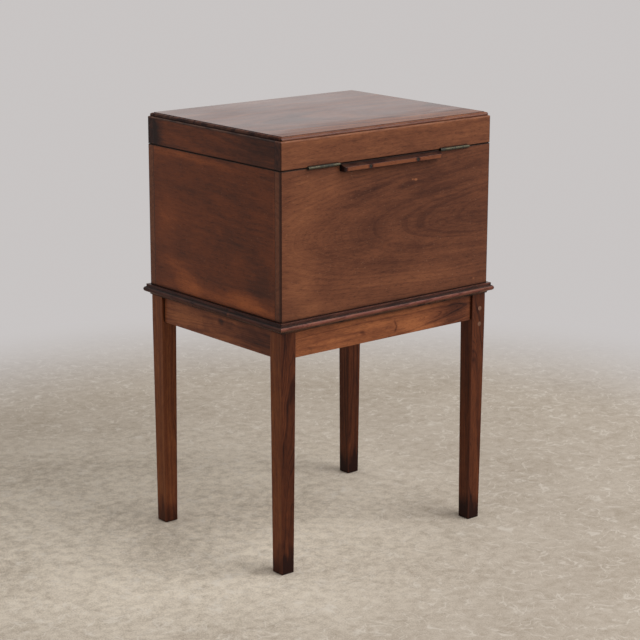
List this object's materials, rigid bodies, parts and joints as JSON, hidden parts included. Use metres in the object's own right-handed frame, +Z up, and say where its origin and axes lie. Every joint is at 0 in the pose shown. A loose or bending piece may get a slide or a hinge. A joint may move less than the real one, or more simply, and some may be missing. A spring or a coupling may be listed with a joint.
{
  "type": "cellarette",
  "caption": "Square-cornered wooden bottle box with a hinged lid, divided inside into cells, that lifts out of the moulded frame of a low stand on four tapered legs.",
  "frame": {"origin": "on the floor, under the middle of the box", "axes": "+Z up; +X along the width, to the right of someone who faces the front; the front with the lock faces -Y, and the back with the hinges and the stop rail faces +Y"},
  "size_m": [0.4642, 0.3723, 0.711],
  "materials": {
    "apron_mahogany": "satin mahogany, faded to orange-brown",
    "box_mahogany": "French-polished reddish-brown mahogany, worn to orange at the arrises",
    "hinge_brass": "dull patinated brass",
    "leg_mahogany": "satin dark mahogany",
    "lid_mahogany": "French-polished reddish-brown mahogany",
    "lock_brass": "satin brass",
    "moulding_mahogany": "waxed mahogany, dark in the quirks",
    "partition_wood": "thin unpolished mahogany",
    "plug_wood": "pale end-grain plugs",
    "screw_brass": "dull brass",
    "screw_steel": "darkened steel",
    "secondary_wood": "unpolished softwood",
    "top_mahogany": "high-gloss French-polished mahogany"
  },
  "bodies": {
    "stand": {"apron_back": "apron_mahogany", "apron_front": "apron_mahogany", "apron_left": "apron_mahogany", "apron_right": "apron_mahogany", "frame_screws": "screw_steel", "glue_blocks": "secondary_wood", "leg_back_left": "leg_mahogany", "leg_back_right": "leg_mahogany", "leg_front_left": "leg_mahogany", "leg_front_right": "leg_mahogany", "leg_plugs": "plug_wood", "moulding_back": "moulding_mahogany", "moulding_front": "moulding_mahogany", "moulding_left": "moulding_mahogany", "moulding_right": "moulding_mahogany"},
    "box": {"box_back": "box_mahogany", "box_bottom": "secondary_wood", "box_front": "box_mahogany", "box_left": "box_mahogany", "box_right": "box_mahogany", "hinge_box_leaf_left": "hinge_brass", "hinge_box_leaf_right": "hinge_brass", "hinge_box_screws": "screw_brass", "hinge_pin_left": "screw_steel", "hinge_pin_right": "screw_steel", "lock_case": "lock_brass", "lock_plate": "lock_brass", "lock_screws": "screw_brass", "partition_cross_1": "partition_wood", "partition_cross_2": "partition_wood", "partition_cross_3": "partition_wood", "partition_long_1": "partition_wood", "partition_long_2": "partition_wood", "stop_rail": "box_mahogany", "stop_rail_screws": "screw_steel"},
    "lid": {"hinge_lid_leaf_left": "hinge_brass", "hinge_lid_leaf_right": "hinge_brass", "hinge_lid_screws": "screw_brass", "lid_back": "lid_mahogany", "lid_front": "lid_mahogany", "lid_left": "lid_mahogany", "lid_right": "lid_mahogany", "lid_top": "top_mahogany", "link_plate": "lock_brass", "link_screws": "screw_brass"},
    "lock_bolt": {"lock_bolt": "screw_steel"}
  },
  "joints": [
    {"name": "box_lift", "type": "slide", "parent": "stand", "child": "box", "axis": [0, 0, 1], "range_m": [0, 0.12]},
    {"name": "lid_hinge", "type": "hinge", "parent": "box", "child": "lid", "pos_m": [0, 0.1782, 0.6588], "axis": [-1, 0, 0], "range_deg": [0, 127]},
    {"name": "bolt_slide", "type": "slide", "parent": "box", "child": "lock_bolt", "axis": [1, 0, 0], "range_m": [0, 0.006]}
  ]
}
